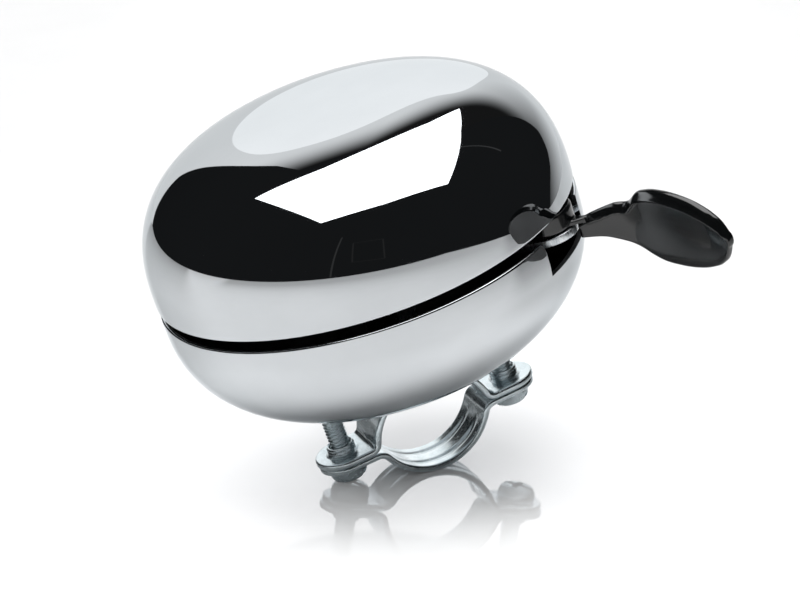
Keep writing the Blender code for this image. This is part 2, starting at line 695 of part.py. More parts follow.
def sector_outline():
    pitch_radius = GEAR_MODULE * SECTOR_FULL_TEETH / 2
    step = 2 * math.pi / SECTOR_FULL_TEETH
    outline = [(0.0, 0.0)]
    for tooth in range(SECTOR_FIRST_TOOTH, SECTOR_LAST_TOOTH + 1):
        outline += gear_tooth(pitch_radius, SECTOR_FULL_TEETH, math.pi + (tooth + 0.5) * step)
    return outline


def blade_line(distance):
    """Place and heading of the blade in plan, at a distance from its start."""
    x = BLADE_START
    y = 0.0
    steps = 40
    stride = distance / steps
    heading = 0.0
    for step in range(steps):
        walked = (step + 0.5) * stride
        part = min(1.0, max(0.0, (walked - BLADE_BEND_FROM) / (BLADE_BEND_TO - BLADE_BEND_FROM)))
        heading = math.radians(BLADE_BEND) * part * part * (3 - 2 * part)
        x += stride * math.cos(heading)
        y += stride * math.sin(heading)
    return x, y, heading


def blade_section(distance, top, bottom):
    """Ring of points of one cross-section: an upright sheet with a flange along its top."""
    x, y, heading = blade_line(distance)
    ahead = Vector((math.sin(heading), -math.cos(heading)))
    tall = top - bottom
    lip = min(1.6 * MM, 0.3 * tall)
    flange = BLADE_SHEET + BLADE_FLANGE * min(1.0, tall / (12 * MM))
    corners = (
        (0.2 * MM, bottom),
        (0.0, bottom + 0.35 * tall),
        (0.0, top - 0.4 * lip),
        (0.5 * MM, top),
        (flange - 0.5 * MM, top - 0.1 * lip),
        (flange, top - 0.5 * lip),
        (flange - 0.4 * MM, top - lip),
        (BLADE_SHEET, top - lip),
        (BLADE_SHEET, bottom + 0.35 * tall),
        (BLADE_SHEET - 0.2 * MM, bottom),
    )
    middle = BLADE_SHEET / 2
    return [(x + ahead.x * (out - middle), y + ahead.y * (out - middle), up) for out, up in corners]


def blade_mesh():
    mesh = bmesh.new()
    rings = []
    for distance, top, bottom in BLADE_EDGES:
        section = blade_section(distance * MM, top * MM, bottom * MM)
        rings.append([mesh.verts.new(corner) for corner in section])
    for low, high in zip(rings, rings[1:]):
        for side in range(len(low)):
            after = (side + 1) % len(low)
            mesh.faces.new((low[side], low[after], high[after], high[side]))
    mesh.faces.new(rings[0][::-1])
    mesh.faces.new(rings[-1])
    return mesh


def build_lever(black, works):
    spot = (LEVER_PIVOT, 0.0, 0.0)
    hub = rod(HUB_RADIUS, HUB_BOTTOM, HUB_TOP, 32)
    lever = place("lever", hub, black, works, spot)
    join(lever, prism(sector_outline(), HUB_BOTTOM, SECTOR_TOP), "lever_sector")
    neck = ((4.0 * MM, -2.4 * MM), (8.0 * MM, -1.4 * MM), (8.0 * MM, 0.3 * MM), (4.0 * MM, 1.4 * MM))
    join(lever, prism(neck, HUB_BOTTOM + 0.1 * MM, NECK_TOP), "lever_neck")
    join(lever, blade_mesh(), "lever_blade")
    bore = rod(RIVET_RADIUS + RUNNING_CLEARANCE, HUB_BOTTOM - MM, HUB_TOP + MM, 24)
    cut(lever, bore, "lever_bore")


def build():
    remove_everything()
    chrome = material("chrome", (0.82, 0.83, 0.84), 1.0, 0.05)
    zinc = material("zinc_plate", (0.62, 0.67, 0.70), 1.0, 0.28)
    screw_zinc = material("screw_zinc", (0.50, 0.56, 0.58), 1.0, 0.35)
    stack_zinc = material("stack_zinc", (0.58, 0.62, 0.64), 1.0, 0.35)
    black = material("lever_black", (0.012, 0.012, 0.013), 0.0, 0.22)
    brass = material("brass", (0.70, 0.52, 0.25), 1.0, 0.3)
    spring_steel = material("spring_steel", (0.42, 0.43, 0.45), 1.0, 0.3)
    rocker_steel = material("rocker_steel", (0.50, 0.51, 0.53), 1.0, 0.35)

    bell = frame("bell_frame", SEAM_HEIGHT)
    works = frame("mechanism_frame", SEAM_HEIGHT, LEVER_AZIMUTH)
    build_clamp(zinc, screw_zinc)
    build_shells(chrome, bell)
    build_stack(stack_zinc, brass, bell)
    build_plate(zinc, works)
    build_pins(stack_zinc, works)
    build_pinion(brass, works)
    build_rocker(rocker_steel, works)
    build_hammers(brass, stack_zinc, works)
    build_spring(spring_steel, works)
    build_lever(black, works)
    bpy.context.view_layer.update()


build()
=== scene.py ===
import json
import math

import bmesh
import bpy
import numpy as np
from mathutils import Matrix, Vector


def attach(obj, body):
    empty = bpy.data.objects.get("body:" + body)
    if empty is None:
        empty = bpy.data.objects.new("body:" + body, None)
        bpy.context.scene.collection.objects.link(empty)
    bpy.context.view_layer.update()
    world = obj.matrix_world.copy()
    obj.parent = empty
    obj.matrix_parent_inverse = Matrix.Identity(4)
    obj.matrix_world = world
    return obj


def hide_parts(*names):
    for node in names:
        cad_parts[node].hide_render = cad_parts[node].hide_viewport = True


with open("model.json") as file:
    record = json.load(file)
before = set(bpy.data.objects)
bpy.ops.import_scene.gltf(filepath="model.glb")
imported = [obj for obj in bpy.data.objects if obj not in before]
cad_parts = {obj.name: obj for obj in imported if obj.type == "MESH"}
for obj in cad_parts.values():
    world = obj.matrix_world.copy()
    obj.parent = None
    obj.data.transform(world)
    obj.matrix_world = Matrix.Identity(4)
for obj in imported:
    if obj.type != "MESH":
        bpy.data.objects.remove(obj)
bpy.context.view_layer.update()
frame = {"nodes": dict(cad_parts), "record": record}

MM = 0.001

# ---- dimensions shared with the CAD part ----

SHEET = 1.0 * MM
SEAM_HALF_GAP = 1.07 * MM
UPPER = dict(radius=40.16 * MM, rise=24.83 * MM, start=2.2 * MM, powers=(3.2, 2.48))
LOWER = dict(radius=40.05 * MM, rise=23.44 * MM, start=4.24 * MM, powers=(2.56, 2.16))
SEAM_HEIGHT = 40.1 * MM
STUD_HOLE_RADIUS = 3.15 * MM
NOTCH_FLOOR = -7.65 * MM
NOTCH_SIDES = (-17.5, 9.0)
LEVER_AZIMUTH = -39.7

BAR_CROWN = 11.12 * MM
STRAP_THICKNESS = 1.2 * MM
STRAP_HALF_WIDTH = 5.4 * MM
LOWER_STRAP_HALF_WIDTH = 5.1 * MM
SADDLE_INNER_RADIUS = 11.35 * MM
SADDLE_EAR_TOP = 2.41 * MM
SADDLE_BEND = 1.8 * MM
U_INNER_RADIUS = 11.15 * MM
U_CENTRE_HEIGHT = 4.83 * MM
U_BEND = 2.2 * MM
GROOVE_SPACING = 4.7 * MM
GROOVE_WIDTH = 1.1 * MM
GROOVE_DEPTH = 0.28 * MM
PRESS_RIPPLE = 0.022 * MM
RIPPLE_ALONG = 0.9 * MM
RIPPLE_ACROSS = 1.3 * MM
STRAP_EDGE = 0.3 * MM
COLLAR_RADIUS = 2.7 * MM
COLLAR_HEIGHT = 1.8 * MM
COLLAR_RIDGE = 0.13 * MM
COLLAR_RIDGES = 2.6
COLLAR_ROOT = 0.55 * MM
SCREW_SPACING = 34.7 * MM
SCREW_RADIUS = 1.95 * MM
SCREW_HOLE_RADIUS = 2.1 * MM
SCREW_LENGTH = 12.0 * MM
SCREW_PITCH = 0.7 * MM
HEAD_RADIUS = 3.65 * MM
HEAD_HEIGHT = 2.8 * MM
HEAD_OUTLINE = (
    (0.35, 1.0),
    (0.62, 0.985),
    (0.76, 0.94),
    (0.87, 0.84),
    (0.95, 0.66),
    (0.99, 0.45),
    (1.0, 0.3),
    (1.0, 0.08),
    (0.98, 0.02),
    (0.95, 0.0),
)
THREAD_DEPTH = 0.3 * MM
SLOT_WIDTH = 1.1 * MM
SLOT_DEPTH = 1.3 * MM
SLOT_AZIMUTH = -48.0
CROSS_ARM = 2.0 * MM
SEAT_HEIGHT = SADDLE_EAR_TOP - 2 * STRAP_THICKNESS - 0.2 * MM

PLATE_TOP = -3.5 * MM
PLATE_THICKNESS = 1.5 * MM
LEVER_PIVOT = 34.5 * MM
EAR_RADIUS = 6.1 * MM
PLATE_END_RADIUS = 8.0 * MM
HUB_RADIUS = 5.9 * MM
HUB_BOTTOM = -3.3 * MM
NECK_TOP = -2.35 * MM
HUB_TOP = 0.3 * MM
RIVET_RADIUS = 1.8 * MM
RIVET_HOLE_RADIUS = 1.9 * MM
POST_OFFSET = 14.5 * MM
POST_HOLE_RADIUS = 1.6 * MM
NECK_OUTLINE = (
    (3.0 * MM, -2.8 * MM),
    (8.2 * MM, -0.9 * MM),
    (8.2 * MM, 0.3 * MM),
    (3.0 * MM, 1.6 * MM),
)
SECTOR_TOP = -1.2 * MM
SECTOR_RADIUS = 14.0 * MM
SECTOR_TEETH = 35
GEAR_MODULE = 0.8 * MM
PRESSURE_ANGLE = math.radians(20)
LEVER_VOXEL = 0.13 * MM

BLADE_START = 6.5 * MM
BLADE_BEND_FROM = 7.2 * MM
BLADE_BEND_TO = 12.2 * MM
BLADE_BEND = -30.0
BLADE_SHEET = 1.5 * MM
BLADE_FLANGE = 1.9 * MM
# distance along the blade, then the heights of its top and bottom edges, in millimetres
BLADE_EDGES = (
    (0.0, -3.0, -6.5),
    (1.6, -2.3, -6.6),
    (4.5, -1.4, -7.0),
    (7.5, -0.7, -8.2),
    (10.4, -0.5, -9.6),
    (11.4, 0.2, -10.1),
    (12.9, 1.4, -10.9),
    (15.5, 2.2, -11.9),
    (19.5, 2.35, -12.4),
    (23.5, 1.8, -12.4),
    (27.5, 0.6, -11.7),
    (30.2, -0.9, -10.6),
    (31.9, -2.6, -9.0),
    (32.7, -4.3, -7.2),
)
BLADE_END = 32.7
BLADE_ROUND = 0.5
FLANGE_CURVE = (
    (0.7, 0.66),
    (0.53, 0.33),
    (0.43, 0.16),
    (0.31, 0.04),
    (0.18, 0.0),
)


# ---- materials ----

def new_material(name):
    made = bpy.data.materials.new(name)
    made.use_nodes = True
    nodes = made.node_tree.nodes
    return made, nodes, made.node_tree.links, nodes["Principled BSDF"]


def noise(nodes, links, scale, stretch=(1, 1, 1), detail=4.0, rough=0.55, source="Object"):
    """Noise in the object's own metres, `scale` features to the metre."""
    where = nodes.new("ShaderNodeTexCoord")
    mapping = nodes.new("ShaderNodeMapping")
    mapping.inputs["Scale"].default_value = stretch
    texture = nodes.new("ShaderNodeTexNoise")
    texture.inputs["Scale"].default_value = scale
    texture.inputs["Detail"].default_value = detail
    texture.inputs["Roughness"].default_value = rough
    links.new(where.outputs[source], mapping.inputs["Vector"])
    links.new(mapping.outputs["Vector"], texture.inputs["Vector"])
    return texture.outputs["Fac"]


def spread(nodes, links, value, low, high, start=0.3, end=0.7):
    """Map a noise value to low..high."""
    node = nodes.new("ShaderNodeMapRange")
    node.inputs["From Min"].default_value = start
    node.inputs["From Max"].default_value = end
    node.inputs["To Min"].default_value = low
    node.inputs["To Max"].default_value = high
    links.new(value, node.inputs["Value"])
    return node.outputs["Result"]


def blend_colour(nodes, links, value, dark, light):
    node = nodes.new("ShaderNodeMix")
    node.data_type = "RGBA"
    links.new(value, node.inputs["Factor"])
    node.inputs["A"].default_value = (*dark, 1.0)
    node.inputs["B"].default_value = (*light, 1.0)
    return node.outputs["Result"]


def metal(name, dark, light, rough, scale=250.0, stretch=(1, 1, 1), bump=0.0, bump_scale=2500.0):
    """Metal with mottled colour, uneven gloss and a fine grain."""
    made, nodes, links, shader = new_material(name)
    shader.inputs["Metallic"].default_value = 1.0
    mottle = noise(nodes, links, scale, stretch)
    links.new(blend_colour(nodes, links, spread(nodes, links, mottle, 0.0, 1.0), dark, light),
              shader.inputs["Base Color"])
    wear = noise(nodes, links, scale * 3.1, stretch, 6.0)
    links.new(spread(nodes, links, wear, *rough), shader.inputs["Roughness"])
    if bump:
        grain = noise(nodes, links, bump_scale, stretch, 3.0)
        node = nodes.new("ShaderNodeBump")
        node.inputs["Strength"].default_value = bump
        node.inputs["Distance"].default_value = 0.02 * MM
        links.new(grain, node.inputs["Height"])
        links.new(node.outputs["Normal"], shader.inputs["Normal"])
    return made


def soften_edge(made, tint):
    """Dim a metal's mirror a little where it is seen at a slant."""
    made.node_tree.nodes["Principled BSDF"].inputs["Specular Tint"].default_value = (*tint, 1.0)
    return made


def plastic(name, dark, light, rough):
    """Glossy dark plastic with uneven gloss and a very fine grain."""
    made, nodes, links, shader = new_material(name)
    shader.inputs["Specular IOR Level"].default_value = 0.8
    mottle = noise(nodes, links, 300.0)
    links.new(blend_colour(nodes, links, spread(nodes, links, mottle, 0.0, 1.0), dark, light),
              shader.inputs["Base Color"])
    wear = noise(nodes, links, 900.0, (1, 1, 1), 6.0)
    links.new(spread(nodes, links, wear, *rough), shader.inputs["Roughness"])
    grain = noise(nodes, links, 3500.0, (1, 1, 1), 2.0)
    node = nodes.new("ShaderNodeBump")
    node.inputs["Strength"].default_value = 0.015
    node.inputs["Distance"].default_value = 0.02 * MM
    links.new(grain, node.inputs["Height"])
    links.new(node.outputs["Normal"], shader.inputs["Normal"])
    return made


SKINS = {
    "chrome": soften_edge(metal("chrome", (0.61, 0.635, 0.655), (0.65, 0.675, 0.695), (0.012, 0.035), 45.0),
                          (0.78, 0.80, 0.81)),
    # painted shade: near-black metal for the shells' insides, rough because they aren't polished
    "shell_inside_painted_shade": metal("shell_inside_painted_shade", (0.035, 0.036, 0.038), (0.07, 0.072, 0.076), (0.45, 0.65), 320.0,
                          (1, 1, 1), 0.2, 1500.0),
    "zinc_plate": metal("zinc_plate", (0.58, 0.66, 0.69), (0.70, 0.765, 0.79), (0.2, 0.28), 330.0,
                        (1, 1, 1), 0.03, 1500.0),
    "plate_zinc": metal("plate_zinc", (0.50, 0.54, 0.57), (0.80, 0.83, 0.85), (0.2, 0.42), 900.0,
                        (1, 1, 0.08), 0.5, 2600.0),
    "screw_zinc": metal("screw_zinc", (0.50, 0.58, 0.61), (0.64, 0.71, 0.74), (0.24, 0.34), 260.0,
                        (1, 1, 1), 0.05, 1800.0),
    "stack_zinc": metal("stack_zinc", (0.40, 0.45, 0.48), (0.62, 0.66, 0.69), (0.22, 0.42), 380.0,
                        (1, 1, 1), 0.2, 2200.0),
    "lever_black": plastic("lever_black", (0.0025, 0.003, 0.0032), (0.005, 0.0055, 0.006), (0.1, 0.15)),
    "brass": metal("brass", (0.52, 0.36, 0.15), (0.78, 0.60, 0.30), (0.16, 0.36), 350.0,
                   (0.3, 0.3, 3), 0.25, 2400.0),
    "spring_steel": metal("spring_steel", (0.30, 0.31, 0.33), (0.52, 0.53, 0.55), (0.2, 0.38), 900.0),
    "rocker_steel": metal("rocker_steel", (0.36, 0.37, 0.39), (0.60, 0.61, 0.63), (0.24, 0.42), 420.0,
                          (1, 1, 1), 0.25, 2200.0),
}


# ---- geometry helpers ----

def finish_mesh(name, mesh, skin, angle=35.0):
    bmesh.ops.recalc_face_normals(mesh, faces=mesh.faces)
    data = bpy.data.meshes.new(name)
    mesh.to_mesh(data)
    mesh.free()
    data.shade_smooth()
    data.set_sharp_from_angle(angle=math.radians(angle))
    thing = bpy.data.objects.new(name, data)
    bpy.context.scene.collection.objects.link(thing)
    data.materials.append(SKINS[skin])
    return thing


def settle(thing, angle=35.0):
    """Turn the object's modifiers into plain mesh."""
    graph = bpy.context.evaluated_depsgraph_get()
    baked = bpy.data.meshes.new_from_object(thing.evaluated_get(graph))
    tools = [change.object for change in thing.modifiers if change.type == "BOOLEAN"]
    thing.modifiers.clear()
    thing.data = baked
    for tool in tools:
        bpy.data.objects.remove(tool, do_unlink=True)
    baked.shade_smooth()
    baked.set_sharp_from_angle(angle=math.radians(angle))
    return thing


def boolean(thing, mesh, operation):
    bmesh.ops.recalc_face_normals(mesh, faces=mesh.faces)
    data = bpy.data.meshes.new("tool")
    mesh.to_mesh(data)
    mesh.free()
    tool = bpy.data.objects.new("tool", data)
    bpy.context.scene.collection.objects.link(tool)
    change = thing.modifiers.new("shape", "BOOLEAN")
    change.operation = operation
    change.object = tool


def loft(rings, closed=True, caps=True):
    """Mesh through rings of points that all have the same count."""
    mesh = bmesh.new()
    made = [[mesh.verts.new(point) for point in ring] for ring in rings]
    count = len(rings[0])
    last = count if closed else count - 1
    for low, high in zip(made, made[1:]):
        for here in range(last):
            after = (here + 1) % count
            mesh.faces.new((low[here], low[after], high[after], high[here]))
    if caps:
        mesh.faces.new(made[0][::-1])
        mesh.faces.new(made[-1])
    return mesh


def turned(profile, segments, centre=(0.0, 0.0)):
    """Solid of revolution about a vertical axis from a closed (radius, height) outline."""
    mesh = bmesh.new()
    rings = []
    for radius, height in profile:
        if radius <= 0.0:
            rings.append([mesh.verts.new((centre[0], centre[1], height))])
            continue
        ring = []
        for step in range(segments):
            angle = 2 * math.pi * step / segments
            x = centre[0] + radius * math.cos(angle)
            y = centre[1] + radius * math.sin(angle)
            ring.append(mesh.verts.new((x, y, height)))
        rings.append(ring)
    for low, high in zip(rings, rings[1:] + rings[:1]):
        for step in range(segments):
            after = (step + 1) % segments
            if len(low) > 1 and len(high) > 1:
                mesh.faces.new((low[step], low[after], high[after], high[step]))
            elif len(low) > 1:
                mesh.faces.new((low[step], low[after], high[0]))
            elif len(high) > 1:
                mesh.faces.new((low[0], high[after], high[step]))
    return mesh


def rod(radius, low, high, segments=48, centre=(0.0, 0.0)):
    return turned(((0.0, low), (radius, low), (radius, high), (0.0, high)), segments, centre)


def prism(outline, low, high):
    return loft([[(x, y, low) for x, y in outline], [(x, y, high) for x, y in outline]])


def rounded(corners, size, steps=5):
    """Closed outline with each corner replaced by a small curve."""
    made = []
    count = len(corners)
    for here, corner in enumerate(corners):
        corner = Vector(corner)
        back = Vector(corners[here - 1]) - corner
        ahead = Vector(corners[(here + 1) % count]) - corner
        start = corner + back.normalized() * min(size, 0.45 * back.length)
        end = corner + ahead.normalized() * min(size, 0.45 * ahead.length)
        for step in range(steps + 1):
            part = step / steps
            point = start * (1 - part) ** 2 + corner * 2 * part * (1 - part) + end * part ** 2
            made.append(tuple(point))
    return made


def polar(radius, degrees):
    return radius * math.cos(math.radians(degrees)), radius * math.sin(math.radians(degrees))


def circle(x, y, radius, segments=72):
    steps = [2 * math.pi * step / segments for step in range(segments)]
    return [(x + radius * math.cos(angle), y + radius * math.sin(angle)) for angle in steps]


def cross(first, second, third):
    across = (second[0] - first[0]) * (third[1] - first[1])
    return across - (second[1] - first[1]) * (third[0] - first[0])


def hull(circles):
    """Convex outline round a set of (x, y, radius) circles, anticlockwise."""
    points = sorted(point for x, y, radius in circles for point in circle(x, y, radius))

    def chain(ordered):
        line = []
        for point in ordered:
            while len(line) > 1 and cross(line[-2], line[-1], point) <= 0:
                line.pop()
            line.append(point)
        return line[:-1]

    return chain(points) + chain(points[::-1])


def put(thing, body, *nodes, slot, turn=0.0, lift=0.0, spot=(0.0, 0.0)):
    """Move a piece from its own frame into the part's, and tie it to the CAD body."""
    thing.data.transform(Matrix.Translation((spot[0], spot[1], 0.0)))
    thing.data.transform(Matrix.Translation((0.0, 0.0, lift)) @ Matrix.Rotation(math.radians(turn), 4, "Z"))
    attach(thing, body)
    if nodes:
        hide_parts(*nodes)
    return thing


# ---- shells ----

def superellipse(radius, rise, start, powers, count):
    """Evenly spaced points from the widest ring to the pole."""
    angle = np.linspace(0.0, math.pi / 2, 4000)
    reach = radius * np.cos(angle).clip(0.0) ** (2 / powers[0])
    height = start + rise * np.sin(angle) ** (2 / powers[1])
    reach[-1] = 0.0
    walked = np.concatenate(([0.0], np.cumsum(np.hypot(np.diff(reach), np.diff(height)))))
    even = np.linspace(0.0, walked[-1], count)
    points = list(zip(np.interp(even, walked, reach), np.interp(even, walked, height)))
    points[-1] = (0.0, start + rise)
    return points


def shell_profile(radius, rise, start, powers):
    """Closed outline of one shell with a rolled-smooth rim."""
    outside = superellipse(radius, rise, start, powers, 150)
    inside = superellipse(radius - SHEET, rise - SHEET, start, powers, 60)
    ease = 0.44 * MM
    rim = rounded(((radius - SHEET, start), (radius - SHEET, SEAM_HALF_GAP),
                   (radius, SEAM_HALF_GAP), (radius, start)), ease)
    return rim[6:18] + outside + inside[::-1]


def build_shells():
    upper = finish_mesh("upper_shell_chrome", turned(shell_profile(**UPPER), 256), "chrome", 50)
    dull_shaded_inside(upper, UPPER, 1)
    put(upper, "bell_body", "upper_shell", slot="chrome", lift=SEAM_HEIGHT)

    profile = [(radius, -height) for radius, height in shell_profile(**LOWER)]
    lower = finish_mesh("lower_shell_chrome", turned(profile, 256), "chrome", 50)
    boolean(lower, rod(STUD_HOLE_RADIUS, -35 * MM, -20 * MM), "DIFFERENCE")
    boolean(lower, notch_cutter(), "DIFFERENCE")
    settle(lower, 40)
    dull_shaded_inside(lower, LOWER, -1)
    put(lower, "bell_body", "lower_shell", slot="chrome", lift=SEAM_HEIGHT)


def dull_shaded_inside(shell, form, side):
    """The inside of a shell isn't polished, and its near-black colour is painted shade: faces that look at
    the axis get the dull, dark skin.
    """
    shell.data.materials.append(SKINS["shell_inside_painted_shade"])
    middle = form["radius"] - SHEET / 2
    for face in shell.data.polygons:
        reach = math.hypot(face.center.x, face.center.y)
        height = side * face.center.z - form["start"]
        inward = face.normal.x * face.center.x + face.normal.y * face.center.y < 0.0
        share = (max(height, 0.0) / (form["rise"] - SHEET / 2)) ** form["powers"][1]
        share += (reach / middle) ** form["powers"][0]
        under = side * face.normal.z < -0.2 and height > MM
        if share < 1.0 and (inward or under):
            face.material_index = 1


def notch_cutter():
    """Radial wedge whose mouth at the rim flares a little."""
    first, last = (LEVER_AZIMUTH + side for side in NOTCH_SIDES)
    flare = 1.1
    levels = ((NOTCH_FLOOR, 0.0), (-2.6 * MM, 0.0), (-2.0 * MM, 0.12), (-1.5 * MM, 0.4),
              (SEAM_HALF_GAP * -1, flare), (5 * MM, flare))
    near, far = 30 * MM, 60 * MM
    rings = []
    for height, wider in levels:
        corners = ((near, first - wider), (far, first - wider), (far, last + wider), (near, last + wider))
        rings.append([(*polar(reach, around), height) for reach, around in corners])
    return loft(rings)


# ---- clamp ----

def arc(centre, radius, first, last, steps):
    points = []
    for step in range(steps + 1):
        angle = math.radians(first + (last - first) * step / steps)
        points.append((centre[0] + radius * math.cos(angle), centre[1] + radius * math.sin(angle)))
    return points


def strap_line(ear_height, bend, arch_radius, arch_height, upward):
    """Middle line of a strap in (x, z), from its left end to its right end."""
    side = 1.0 if upward else -1.0
    rise = abs(ear_height - arch_height) + bend
    bend_x = math.sqrt((arch_radius + bend) ** 2 - rise ** 2)
    lean = math.degrees(math.atan2(rise, bend_x))
    half = [(SCREW_SPACING / 2 + STRAP_HALF_WIDTH + 3 * MM, ear_height), (bend_x + 1.5 * MM, ear_height)]
    half += arc((bend_x, ear_height + side * bend), bend, -90 * side, (lean - 180) * side, 14)
    half += arc((0.0, arch_height), arch_radius, lean * side, 90 * side, 40)[1:]
    whole = half + [(-x, z) for x, z in half[-2::-1]]
    return np.array(whole[::-1])


class Line:
    """A bent middle line that can be walked by distance from its middle."""

    def __init__(self, points):
        steps = np.hypot(*np.diff(points, axis=0).T)
        walked = np.concatenate(([0.0], np.cumsum(steps)))
        self.walked = walked - walked[-1] / 2
        self.points = points
        along = np.gradient(points, self.walked, axis=0)
        self.along = along / np.linalg.norm(along, axis=1)[:, None]

    def at(self, distance, out):
        x = np.interp(distance, self.walked, self.points[:, 0])
        z = np.interp(distance, self.walked, self.points[:, 1])
        tx = np.interp(distance, self.walked, self.along[:, 0])
        tz = np.interp(distance, self.walked, self.along[:, 1])
        size = math.hypot(tx, tz)
        return x - tz / size * out, z + tx / size * out

    def where(self, x):
        """Distance along the line at a place on the right-hand ear."""
        return float(np.interp(x, self.points[:, 0], self.walked))


def strap(name, points, half_width, groove, skin):
    """Bent strip with round ends, rounded edges and lengthwise pressed grooves."""
    line = Line(points)
    centre = line.where(SCREW_SPACING / 2)
    ease = STRAP_EDGE
    half = STRAP_THICKNESS / 2
    across = 28
    stations = [(-1.0, angle) for angle in np.linspace(89.2, 4.0, 22)]
    stations += [(0.0, place) for place in np.linspace(-centre, centre, 170)]
    stations += [(1.0, angle) for angle in np.linspace(4.0, 89.2, 22)]

    def spot(station, inset, share, out):
        side, value = station
        if side:
            angle = math.radians(value)
            walked = side * (centre + (half_width - inset) * math.sin(angle))
            reach = (half_width - inset) * math.cos(angle)
        else:
            walked = value
            reach = half_width - inset
        y = reach * share
        fade = max(0.0, 1.0 - (abs(walked) / (0.62 * centre)) ** 6)
        press = groove * fade * math.exp(-((abs(y) - GROOVE_SPACING / 2) / (GROOVE_WIDTH / 2)) ** 2)
        ripple = PRESS_RIPPLE * math.sin(walked / RIPPLE_ALONG) * math.sin(y / RIPPLE_ACROSS + 1.0)
        x, z = line.at(walked, out + press + ripple)
        return x, y, z

    def edge(station, side, face, turns):
        """Points round half of a long edge: side is +1 or -1 across, face is +1 outside or -1 inside."""
        points = []
        for turn in turns:
            angle = math.radians(turn)
            inset = ease * (1 - math.sin(angle))
            points.append(spot(station, inset, side, face * (half - ease * (1 - math.cos(angle)))))
        return points

    rings = []
    for station in stations:
        ring = [spot(station, ease, -1 + 2 * step / across, half) for step in range(across + 1)]
        ring += edge(station, 1.0, 1, (30, 60, 90)) + edge(station, 1.0, -1, (60, 30))
        ring += [spot(station, ease, 1 - 2 * step / across, -half) for step in range(across + 1)]
        ring += edge(station, -1.0, -1, (30, 60, 90)) + edge(station, -1.0, 1, (60, 30))
        rings.append(ring)
    made = finish_mesh(name, loft(rings), skin, 45)
    for side in (-1, 1):
        hole = rod(SCREW_HOLE_RADIUS, -5 * MM, 10 * MM, 48, (side * SCREW_SPACING / 2, 0.0))
        boolean(made, hole, "DIFFERENCE")
    return made


def build_clamp():
    ear = SADDLE_EAR_TOP - STRAP_THICKNESS / 2
    arch = SADDLE_INNER_RADIUS + STRAP_THICKNESS / 2
    points = strap_line(ear, SADDLE_BEND, arch, BAR_CROWN - SADDLE_INNER_RADIUS, True)
    saddle = strap("saddle_strap", points, STRAP_HALF_WIDTH, 0.0, "zinc_plate")
    boolean(saddle, rod(STUD_HOLE_RADIUS, 9 * MM, 15 * MM), "DIFFERENCE")
    settle(saddle, 45)
    put(saddle, "bell_body", "clamp_saddle", slot="zinc_plate")

    ear = SADDLE_EAR_TOP - 1.5 * STRAP_THICKNESS - 0.1 * MM
    arch = U_INNER_RADIUS + STRAP_THICKNESS / 2
    points = strap_line(ear, U_BEND, arch, U_CENTRE_HEIGHT, False)
    lower = strap("lower_strap_zinc", points, LOWER_STRAP_HALF_WIDTH, -GROOVE_DEPTH, "zinc_plate")
    settle(lower, 45)
    put(lower, "strap", "lower_strap", slot="zinc_plate")

    for side, mark in ((-1, "left"), (1, "right")):
        collar = collar_ring("saddle_collar_" + mark)
        put(collar, "bell_body", slot="zinc_plate", spot=(side * SCREW_SPACING / 2, 0.0))
        screw = screw_piece("screw_" + mark)
        put(screw, mark + "_screw", "clamp_screw_" + mark, slot="screw_zinc", lift=SEAT_HEIGHT,
            spot=(side * SCREW_SPACING / 2, 0.0))


def collar_ring(name):
    """Drawn and threaded collar that stands on the saddle's ear."""
    base = SADDLE_EAR_TOP - 0.02 * MM
    top = base + COLLAR_HEIGHT
    bore = SCREW_HOLE_RADIUS + 0.03 * MM
    outside = []
    rows = 24
    for row in range(rows + 1):
        part = row / rows
        ripple = COLLAR_RIDGE * math.cos(2 * math.pi * COLLAR_RIDGES * part)
        root = COLLAR_ROOT * max(0.0, 1 - part / 0.16) ** 2
        outside.append((COLLAR_RADIUS - 0.12 * MM + ripple + root, base + COLLAR_HEIGHT * part * 0.97))
    profile = [(bore, base)] + outside
    profile += [(COLLAR_RADIUS - 0.25 * MM, top), (SCREW_HOLE_RADIUS + 0.2 * MM, top), (bore, top - 0.2 * MM)]
    return finish_mesh(name, turned(profile, 64), "zinc_plate", 50)


def screw_piece(name):
    """Pan-head M4 screw with a rolled thread and a cross recess."""
    segments = 48
    rows = 190
    outline = [(0.0001 * MM, -HEAD_HEIGHT)]
    outline += [(HEAD_RADIUS * wide, -HEAD_HEIGHT * deep) for wide, deep in HEAD_OUTLINE]
    outline.append((SCREW_RADIUS * 1.04, 0.0))
    rings = []
    for radius, height in outline:
        rings.append([(*polar(radius, 360 * step / segments), height) for step in range(segments)])
    for row in range(rows + 1):
        height = 0.1 * MM + (SCREW_LENGTH - 0.1 * MM) * row / rows
        left = SCREW_LENGTH - height
        ring = []
        for step in range(segments):
            phase = (height / SCREW_PITCH - step / segments) % 1.0
            depth = THREAD_DEPTH * min(1.0, max(0.0, 2.6 * abs(phase - 0.5) - 0.12))
            radius = min(SCREW_RADIUS - depth, SCREW_RADIUS * 0.72 + left * 1.1)
            ring.append((*polar(radius, 360 * step / segments), height))
        rings.append(ring)
    made = finish_mesh(name, loft(rings), "screw_zinc", 40)
    bar = SLOT_WIDTH / 2
    arm = CROSS_ARM
    end = HEAD_RADIUS + MM
    outline = ((end, -bar), (end, bar), (bar, bar), (bar, arm), (-bar, arm), (-bar, bar),
               (-end, bar), (-end, -bar), (-bar, -bar), (-bar, -arm), (bar, -arm), (bar, -bar))
    slot_x, slot_y = polar(1.0, SLOT_AZIMUTH)
    outline = [(x * slot_x - y * slot_y, x * slot_y + y * slot_x) for x, y in outline]
    rings = []
    for height in (-HEAD_HEIGHT - MM, -HEAD_HEIGHT + SLOT_DEPTH):
        rings.append([(x, y, height) for x, y in outline])
    boolean(made, loft(rings), "DIFFERENCE")
    return settle(made, 40)


# ---- plate and lever ----

